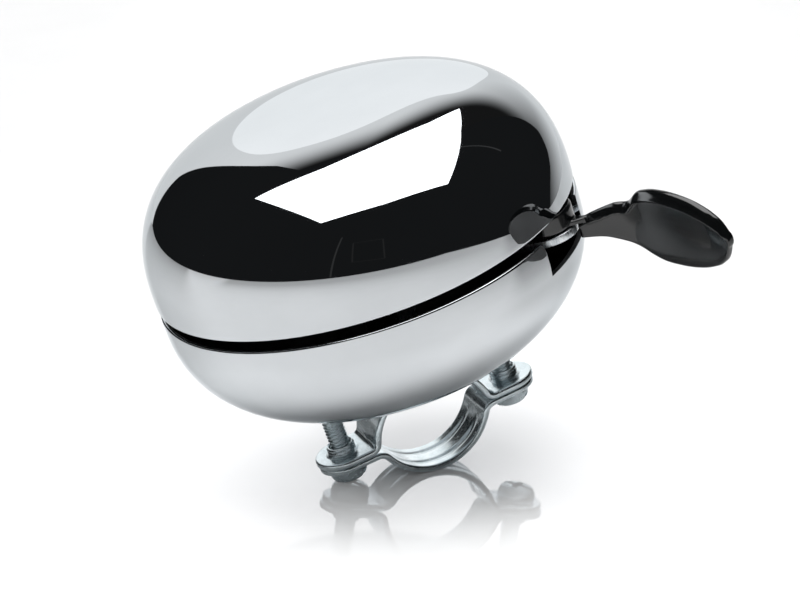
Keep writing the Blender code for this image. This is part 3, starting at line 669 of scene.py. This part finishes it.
def build_plate():
    outline = hull(((0.0, 0.0, PLATE_END_RADIUS), (LEVER_PIVOT, 0.0, EAR_RADIUS)))
    bottom = PLATE_TOP - PLATE_THICKNESS
    plate = finish_mesh("mechanism_plate", prism(outline, bottom, PLATE_TOP), "plate_zinc")
    edge = plate.modifiers.new("edge", "BEVEL")
    edge.width = 0.2 * MM
    edge.segments = 3
    edge.angle_limit = math.radians(50)
    settle(plate)
    holes = ((0.0, STUD_HOLE_RADIUS), (POST_OFFSET, POST_HOLE_RADIUS), (LEVER_PIVOT, RIVET_HOLE_RADIUS))
    for x, radius in holes:
        boolean(plate, rod(radius, bottom - MM, PLATE_TOP + MM, 48, (x, 0.0)), "DIFFERENCE")
    settle(plate)
    put(plate, "bell_body", "base_plate", slot="zinc_plate", turn=LEVER_AZIMUTH, lift=SEAM_HEIGHT)


def blade_line(distance):
    """Place and heading of the blade in plan, at a distance from its start."""
    x = BLADE_START
    y = 0.0
    steps = 60
    stride = distance / steps
    heading = 0.0
    for step in range(steps):
        walked = (step + 0.5) * stride
        part = min(1.0, max(0.0, (walked - BLADE_BEND_FROM) / (BLADE_BEND_TO - BLADE_BEND_FROM)))
        heading = math.radians(BLADE_BEND) * part * part * (3 - 2 * part)
        x += stride * math.cos(heading)
        y += stride * math.sin(heading)
    return x, y, heading


def smooth_edge(column, distance):
    """Smooth curve through one column of the blade's edge heights."""
    places = np.array([row[0] for row in BLADE_EDGES])
    values = np.array([row[column] for row in BLADE_EDGES])
    slopes = np.gradient(values, places)
    here = int(np.clip(np.searchsorted(places, distance) - 1, 0, len(places) - 2))
    gap = places[here + 1] - places[here]
    part = (distance - places[here]) / gap
    first = (1 + 2 * part) * (1 - part) ** 2 * values[here] + part * (1 - part) ** 2 * gap * slopes[here]
    second = part ** 2 * (3 - 2 * part) * values[here + 1] - part ** 2 * (1 - part) * gap * slopes[here + 1]
    return (first + second) * MM


def blade_ring(distance, top, bottom):
    """Cross-section of the blade: a dished upright sheet with a rounded flange along its top."""
    x, y, heading = blade_line(distance)
    ahead = Vector((math.sin(heading), -math.cos(heading)))
    tall = top - bottom
    lip = min(1.6 * MM, 0.3 * tall)
    wide = min(1.0, tall / (12 * MM))
    flange = BLADE_SHEET + BLADE_FLANGE * wide
    dish = 0.75 * MM * wide ** 2
    steep = 1.0 + 0.3 * smooth(distance / (28 * MM))
    front = [(BLADE_SHEET - dish * math.sin(math.pi * part), bottom + (tall - lip) * part)
             for part in np.linspace(0.12, 0.93, 9)]
    back = [(-dish * math.sin(math.pi * part) * 0.8, bottom + tall * part)
            for part in np.linspace(0.9, 0.12, 8)]
    corners = [(0.25 * MM, bottom), (BLADE_SHEET - 0.25 * MM, bottom)] + front
    corners += [(BLADE_SHEET - 0.1 * MM, top - lip * 1.2), (flange * 0.8, top - lip * 1.2),
                (flange * 0.82, top - lip)]
    corners += [(flange * reach, top - drop * steep * lip) for reach, drop in FLANGE_CURVE]
    corners += [(0.2 * MM, top - 0.2 * lip)] + back
    ring = rounded(corners, 0.4 * MM, 4)
    middle = BLADE_SHEET / 2
    return [(x + ahead.x * (out - middle), y + ahead.y * (out - middle), up) for out, up in ring]


def build_lever():
    distances = np.concatenate((np.linspace(0.0, 31.9, 90), np.linspace(32.0, BLADE_END, 8)))
    rings = [blade_ring(d * MM, smooth_edge(1, d), smooth_edge(2, d)) for d in distances]
    end_top, end_bottom = smooth_edge(1, BLADE_END), smooth_edge(2, BLADE_END)
    for share in (0.8, 0.5, 0.2):
        middle = (end_top + end_bottom) / 2
        half = (end_top - end_bottom) / 2 * share
        past = BLADE_END + BLADE_ROUND * math.sqrt(1 - share ** 2)
        rings.append(blade_ring(past * MM, middle + half, middle - half))
    lever = finish_mesh("thumb_lever_black", loft(rings), "lever_black")
    ease = 0.35 * MM
    profile = [(0.0, HUB_BOTTOM), (HUB_RADIUS - ease, HUB_BOTTOM), (HUB_RADIUS, HUB_BOTTOM + ease),
               (HUB_RADIUS, HUB_TOP - ease), (HUB_RADIUS - ease, HUB_TOP), (0.0, HUB_TOP)]
    boolean(lever, turned(profile, 96), "UNION")
    boolean(lever, prism(NECK_OUTLINE, HUB_BOTTOM + 0.05 * MM, NECK_TOP), "UNION")
    boolean(lever, prism(sector_outline(), HUB_BOTTOM, SECTOR_TOP), "UNION")
    boolean(lever, rod(RIVET_RADIUS + 0.05 * MM, HUB_BOTTOM - MM, HUB_TOP + MM), "DIFFERENCE")
    settle(lever)
    shape = lever.modifiers.new("skin", "REMESH")
    shape.mode = "VOXEL"
    shape.voxel_size = LEVER_VOXEL
    relax = lever.modifiers.new("ease", "SMOOTH")
    relax.factor = 0.5
    relax.iterations = 14
    settle(lever, 60)
    put(lever, "thumb_lever", "lever", slot="lever_black", turn=LEVER_AZIMUTH, lift=SEAM_HEIGHT,
        spot=(LEVER_PIVOT, 0.0))


def gear_half_angle(radius, pitch_radius, teeth):
    base = pitch_radius * math.cos(PRESSURE_ANGLE)
    at_pitch = math.pi / (2 * teeth) - 0.05 * MM / pitch_radius
    slope = math.acos(min(1.0, base / max(radius, base)))
    return at_pitch + math.tan(PRESSURE_ANGLE) - PRESSURE_ANGLE - (math.tan(slope) - slope)


def gear_tooth(pitch_radius, teeth, centre):
    root = pitch_radius - 1.2 * GEAR_MODULE
    tip = pitch_radius + 0.8 * GEAR_MODULE
    radii = [root + (tip - root) * part for part in (0.0, 0.25, 0.5, 0.75, 1.0)]
    rising = [(radius, centre - gear_half_angle(radius, pitch_radius, teeth)) for radius in radii]
    falling = [(radius, 2 * centre - angle) for radius, angle in rising[::-1]]
    return [(radius * math.cos(angle), radius * math.sin(angle)) for radius, angle in rising + falling]


def sector_outline():
    outline = [(0.0, 0.0)]
    for tooth in range(-2, 4):
        centre = math.pi + (tooth + 0.5) * 2 * math.pi / SECTOR_TEETH
        outline += gear_tooth(SECTOR_RADIUS, SECTOR_TEETH, centre)
    return outline


# ---- stage ----

FLOOR_TILT = 13.8
FLOOR_DROP = -7.68 * MM
FLOOR_RADIUS = 1.1
FLOOR_RIGHT = 0.42
FLOOR_WHITE = (0.79, 0.81)
SHADOW_SPOT = (6 * MM, 6 * MM, 0.0)
# centre of the painted shade that darkens the floor's colour far out in front
FAR_SHADE_SPOT = (-80 * MM, 0.0, 0.0)
# from the bell along the table, towards the bottom of the main view
FLOOR_FRONT = (-0.51, -0.86, 0.0)
# how much the painted shade darkens the floor's colour far out in front
FLOOR_FAR_SHADE = 0.38
# Floor emission paints light and shade: glow away from the bell leaves a painted shadow under it, with a
# painted bright patch in front, a painted dimmer ring further out and a faint glow far away.
NEAR_GLOW = 0.27
FRONT_PAINTED_LIGHT = 0.2
MIDDLE_DIM = -0.21
FAR_GLOW = 0.1
GLOSS_FRONT = 1.75
GLOSS_LIMIT = 0.9


def ramp(nodes, links, value, start, end, low, high):
    """Smooth change from low at `start` to high at `end`."""
    node = nodes.new("ShaderNodeMapRange")
    node.interpolation_type = "SMOOTHSTEP"
    for name, number in (("From Min", start), ("From Max", end), ("To Min", low), ("To Max", high)):
        node.inputs[name].default_value = number
    links.new(value, node.inputs["Value"])
    return node.outputs["Result"]


def maths(nodes, links, operation, first, second):
    node = nodes.new("ShaderNodeMath")
    node.operation = operation
    links.new(first, node.inputs[0])
    if isinstance(second, float):
        node.inputs[1].default_value = second
    else:
        links.new(second, node.inputs[1])
    return node.outputs["Value"]


def distance_from(nodes, links, where, centre):
    moved = nodes.new("ShaderNodeVectorMath")
    moved.operation = "DISTANCE"
    links.new(where.outputs["Object"], moved.inputs[0])
    moved.inputs[1].default_value = centre
    return moved.outputs["Value"]


def floor_skin():
    """White table with a painted soft shadow under the bell and painted light round it, glossy only close to
    it and at a slant.
    """
    made, nodes, links, shader = new_material("floor")
    mottle = noise(nodes, links, 30.0)
    shader.inputs["Roughness"].default_value = 0.9
    shader.inputs["Specular IOR Level"].default_value = 0.0
    where = nodes.new("ShaderNodeTexCoord")
    parts = nodes.new("ShaderNodeSeparateXYZ")
    links.new(where.outputs["Object"], parts.inputs["Vector"])
    away = distance_from(nodes, links, where, SHADOW_SPOT)
    beside = distance_from(nodes, links, where, FAR_SHADE_SPOT)
    # painted shade: the floor's colour darkens with distance from a spot beside the bell, on the front side
    # only
    far_shade = ramp(nodes, links, beside, 80 * MM, 520 * MM, 0.0, FLOOR_FAR_SHADE)
    front = ramp(nodes, links, parts.outputs["Y"], 0.0, 60 * MM, 1.0, 0.0)
    far_shade = maths(nodes, links, "MULTIPLY", far_shade, front)
    white = spread(nodes, links, mottle, *FLOOR_WHITE)
    links.new(maths(nodes, links, "SUBTRACT", white, maths(nodes, links, "MULTIPLY", far_shade, white)),
              shader.inputs["Base Color"])

    toward = nodes.new("ShaderNodeVectorMath")
    toward.operation = "DOT_PRODUCT"
    links.new(where.outputs["Object"], toward.inputs[0])
    toward.inputs[1].default_value = FLOOR_FRONT
    # painted shadow and light: the floor glows brighter away from the bell, and brighter still in a patch in
    # front of it
    near = ramp(nodes, links, away, 8 * MM, 36 * MM, 0.0, NEAR_GLOW)
    lift = ramp(nodes, links, toward.outputs["Value"], 10 * MM, 36 * MM, 0.0, FRONT_PAINTED_LIGHT)
    lift = maths(nodes, links, "MULTIPLY", lift, ramp(nodes, links, away, 90 * MM, 200 * MM, 1.0, 0.0))
    near = maths(nodes, links, "ADD", near, lift)
    # painted shadow for rays other than the camera's: the glow starts further from the bell, so reflections
    # see a wider shadow
    shaded = ramp(nodes, links, away, 34 * MM, 62 * MM, 0.0, NEAR_GLOW)
    path = nodes.new("ShaderNodeLightPath")
    pick = nodes.new("ShaderNodeMix")
    links.new(path.outputs["Is Camera Ray"], pick.inputs["Factor"])
    links.new(shaded, pick.inputs["A"])
    links.new(near, pick.inputs["B"])
    near = pick.outputs["Result"]
    # painted shade: a dimmer ring round the bell; painted light: the far floor glows a little
    middle = ramp(nodes, links, away, 45 * MM, 110 * MM, 0.0, MIDDLE_DIM)
    far = ramp(nodes, links, away, 350 * MM, 1000 * MM, 0.0, FAR_GLOW)
    glow = maths(nodes, links, "ADD", maths(nodes, links, "ADD", near, middle), far)
    shader.inputs["Emission Color"].default_value = (1.0, 1.0, 1.0, 1.0)
    links.new(glow, shader.inputs["Emission Strength"])

    gloss = nodes.new("ShaderNodeBsdfGlossy")
    gloss.inputs["Color"].default_value = (0.97, 0.98, 1.0, 1.0)
    gloss.inputs["Roughness"].default_value = 0.035
    slant = nodes.new("ShaderNodeLayerWeight")
    slant.inputs["Blend"].default_value = 0.5
    share = maths(nodes, links, "POWER", slant.outputs["Facing"], 3.0)
    front = ramp(nodes, links, toward.outputs["Value"], 6 * MM, 56 * MM, GLOSS_FRONT, 0.0)
    around = ramp(nodes, links, away, 60 * MM, 140 * MM, 1.0, 0.3)
    share = maths(nodes, links, "MULTIPLY", share, maths(nodes, links, "MULTIPLY", front, around))
    share = maths(nodes, links, "MINIMUM", share, GLOSS_LIMIT)
    mix = nodes.new("ShaderNodeMixShader")
    links.new(share, mix.inputs["Fac"])
    links.new(shader.outputs["BSDF"], mix.inputs[1])
    links.new(gloss.outputs["BSDF"], mix.inputs[2])
    links.new(mix.outputs["Shader"], nodes["Material Output"].inputs["Surface"])
    return made


def build_floor():
    data = bpy.data.meshes.new("floor")
    mesh = bmesh.new()
    bmesh.ops.create_circle(mesh, cap_ends=True, segments=256, radius=FLOOR_RADIUS)
    for corner in mesh.verts:
        corner.co.x = min(corner.co.x, FLOOR_RIGHT)
    mesh.to_mesh(data)
    mesh.free()
    data.materials.append(floor_skin())
    floor = bpy.data.objects.new("floor", data)
    bpy.context.scene.collection.objects.link(floor)
    turn = Matrix.Rotation(math.radians(FLOOR_TILT), 4, "Y")
    floor.matrix_world = turn @ Matrix.Translation((0.0, 0.0, FLOOR_DROP))


def card_skin(name, strength):
    """Plain emission whose strength is scaled by the card's own "glow" layer."""
    made = bpy.data.materials.new(name)
    made.use_nodes = True
    nodes = made.node_tree.nodes
    nodes.remove(nodes["Principled BSDF"])
    layer = nodes.new("ShaderNodeAttribute")
    layer.attribute_name = "glow"
    emit = nodes.new("ShaderNodeEmission")
    links = made.node_tree.links
    links.new(maths(nodes, links, "MULTIPLY", layer.outputs["Fac"], strength), emit.inputs["Strength"])
    links.new(emit.outputs["Emission"], nodes["Material Output"].inputs["Surface"])
    return made


def light_card(name, points, faces, strength, glow=None):
    """Lit sheet, unseen by the camera itself, with a glow of 0 to 1 at each point."""
    data = bpy.data.meshes.new(name)
    data.from_pydata([tuple(point) for point in points], [], faces)
    layer = data.attributes.new("glow", "FLOAT", "POINT")
    layer.data.foreach_set("value", glow or [1.0] * len(points))
    data.materials.append(card_skin(name, strength))
    card = bpy.data.objects.new(name, data)
    bpy.context.scene.collection.objects.link(card)
    card.visible_camera = False
    card.visible_shadow = False


def flat_card(name, points, strength):
    light_card(name, points, [tuple(range(len(points)))], strength)


def direction(azimuth, elevation, distance):
    a, e = math.radians(azimuth), math.radians(elevation)
    spot = Vector((math.cos(a) * math.cos(e), math.sin(a) * math.cos(e), math.sin(e))) * distance
    return spot + Vector((0.0, 0.0, SEAM_HEIGHT))


def smooth(value):
    value = min(1.0, max(0.0, value))
    return value * value * (3 - 2 * value)


SURROUND = 0.012


def back_glow(azimuth, elevation):
    """Wall behind the bell: rises from its left edge and fades out towards its top."""
    across = min(1.0, 0.27 + 0.03 * (azimuth - 28.0))
    top = min(51.0, 22.0 + 0.7 * (azimuth - 26.0))
    across = max(0.0, across + 0.02 * max(0.0, -elevation))
    return max(SURROUND, min(1.0, across) * smooth((top + 2.0 - elevation) / 18.0))


# edges of the wall as (elevation, azimuth), and of the lamp as (azimuth, elevation), in degrees from the seam
WALL_LEFT = ((-21, 7), (-16, 12), (-12, 18), (-8, 22), (0, 26))
WALL_RIGHT = ((-21, 112), (0, 109), (4, 103), (14, 95), (30, 89.5), (42, 86))
WALL_LOWEST = -21.0
WALL_TALL = 73.0
WALL_DISTANCE = 1.6
WALL_STRENGTH = 0.97
LAMP_OUTLINE = ((51, 28), (54, 8), (62, -4), (76, 3), (84, 20), (84, 33), (74, 36), (64, 31))
LAMP_DISTANCE = 1.55
LAMP_STRENGTH = 1.32


def edge_at(table, elevation):
    """Azimuth of one side of the wall at an elevation."""
    return float(np.interp(elevation, [row[0] for row in table], [row[1] for row in table]))


def build_back_wall():
    columns, rows = 40, 44
    points, glow, faces = [], [], []
    for row in range(rows + 1):
        elevation = WALL_LOWEST + WALL_TALL * row / rows
        left = edge_at(WALL_LEFT, elevation)
        right = edge_at(WALL_RIGHT, elevation)
        for column in range(columns + 1):
            azimuth = left + (right - left) * column / columns
            points.append(direction(azimuth, elevation, WALL_DISTANCE))
            glow.append(back_glow(azimuth, elevation))
    for row in range(rows):
        for column in range(columns):
            here = row * (columns + 1) + column
            faces.append((here, here + 1, here + columns + 2, here + columns + 1))
    light_card("back_wall", points, faces, WALL_STRENGTH, glow)
    lamp = rounded(LAMP_OUTLINE, 12.0, 8)
    flat_card("back_lamp", [direction(a, e, LAMP_DISTANCE) for a, e in lamp], LAMP_STRENGTH)


STREAK_DISTANCE = 1.5


def faint_streak(name, first, last, half_width, strength):
    """Dim edge of the unlit studio, from one direction to another."""
    (a, e), (b, f) = first, last
    corners = ((a - half_width, e), (a + half_width, e), (b + half_width, f), (b - half_width, f))
    flat_card(name, [direction(around, up, STREAK_DISTANCE) for around, up in corners], strength)


def build_studio_edges():
    faint_streak("studio_stand", (-117, 42), (-127, 4), 0.5, 0.04)
    faint_streak("studio_arm", (4, 49), (-3, 25), 0.5, 0.05)
    frame_corners = ((-111, 33), (-95, 27), (-98, 9), (-114, 15))
    for here, corner in enumerate(frame_corners):
        faint_streak("studio_frame_%d" % here, corner, frame_corners[here - 1], 0.4, 0.024)


# the softbox hangs level: its corners as (azimuth, elevation) in degrees from the seam
SOFTBOX_HEIGHT = 0.95
SOFTBOX_STRENGTH = 3.2
SOFTBOX_OUTLINE = (
    (-40, 42.5),
    (2, 49.6),
    (24, 46.7),
    (45, 37),
    (50, 45.6),
    (58, 50.4),
    (69, 55.2),
    (81, 58.5),
    (116, 56.5),
    (224, 62),
    (281, 60.3),
)
BACKDROP_SEEN = 1.05
BACKDROP_FILL = 0.35


def build_softbox():
    corners = []
    for azimuth, elevation in SOFTBOX_OUTLINE:
        distance = SOFTBOX_HEIGHT / math.sin(math.radians(elevation))
        corners.append(direction(azimuth, elevation, distance))
    flat_card("overhead_softbox", corners, SOFTBOX_STRENGTH)


def build_lights():
    build_softbox()
    build_back_wall()
    build_studio_edges()

    world = bpy.data.worlds.new("studio")
    world.use_nodes = True
    bpy.context.scene.world = world
    nodes = world.node_tree.nodes
    links = world.node_tree.links
    surround = nodes["Background"]
    surround.inputs["Color"].default_value = (0.9, 0.95, 1.0, 1.0)
    surround.inputs["Strength"].default_value = SURROUND
    seen = nodes.new("ShaderNodeBackground")
    seen.inputs["Color"].default_value = (1.0, 1.0, 1.0, 1.0)
    seen.inputs["Strength"].default_value = BACKDROP_SEEN
    soft = nodes.new("ShaderNodeBackground")
    soft.inputs["Color"].default_value = (1.0, 1.0, 1.0, 1.0)
    soft.inputs["Strength"].default_value = BACKDROP_FILL
    path = nodes.new("ShaderNodeLightPath")
    fill = nodes.new("ShaderNodeMixShader")
    links.new(path.outputs["Is Diffuse Ray"], fill.inputs["Fac"])
    links.new(surround.outputs["Background"], fill.inputs[1])
    links.new(soft.outputs["Background"], fill.inputs[2])
    mix = nodes.new("ShaderNodeMixShader")
    links.new(path.outputs["Is Camera Ray"], mix.inputs["Fac"])
    links.new(fill.outputs["Shader"], mix.inputs[1])
    links.new(seen.outputs["Background"], mix.inputs[2])
    links.new(mix.outputs["Shader"], nodes["World Output"].inputs["Surface"])


CAMERA_DISTANCE = 500 * MM
CAMERA_ELEVATION = 23.26
CAMERA_ROLL = -18.72
CAMERA_YAW = -14.7
CAMERA_ASIDE = -6.61 * MM
CAMERA_DOWN = -11.46 * MM
CAMERA_LENS = 122.4


def build_camera():
    """Look at the seam's centre from the front, above, with the picture rolled."""
    look = bpy.data.cameras.new("camera")
    look.lens = CAMERA_LENS
    look.sensor_width = 36.0
    look.clip_start = 0.05
    look.clip_end = 20.0
    camera = bpy.data.objects.new("camera", look)
    bpy.context.scene.collection.objects.link(camera)
    e, roll = math.radians(CAMERA_ELEVATION), math.radians(CAMERA_ROLL)
    right = Vector((1.0, 0.0, 0.0))
    down = Vector((0.0, -math.sin(e), -math.cos(e)))
    ahead = Vector((0.0, math.cos(e), -math.sin(e)))
    x_axis = right * math.cos(roll) - down * math.sin(roll)
    y_axis = right * math.sin(roll) + down * math.cos(roll)
    spot = -(x_axis * CAMERA_ASIDE + y_axis * CAMERA_DOWN + ahead * CAMERA_DISTANCE)
    axes = Matrix((x_axis, -y_axis, -ahead)).transposed().to_4x4()
    yaw = Matrix.Rotation(math.radians(CAMERA_YAW), 4, "Z")
    placed = Matrix.Translation((0.0, 0.0, SEAM_HEIGHT)) @ yaw
    camera.matrix_world = placed @ Matrix.Translation(spot) @ axes
    bpy.context.scene.camera = camera


def paint_cad():
    """Give every CAD node that stays in view the skin of its slot."""
    slots = {row["node"]: row["material_slot"] for row in frame["record"]["subparts"]}
    for name, node in frame["nodes"].items():
        node.data.materials.clear()
        node.data.materials.append(SKINS[slots[name]])


paint_cad()
build_shells()
build_clamp()
build_plate()
build_lever()
build_floor()
build_lights()
build_camera()
bpy.context.scene.view_settings.view_transform = "Standard"
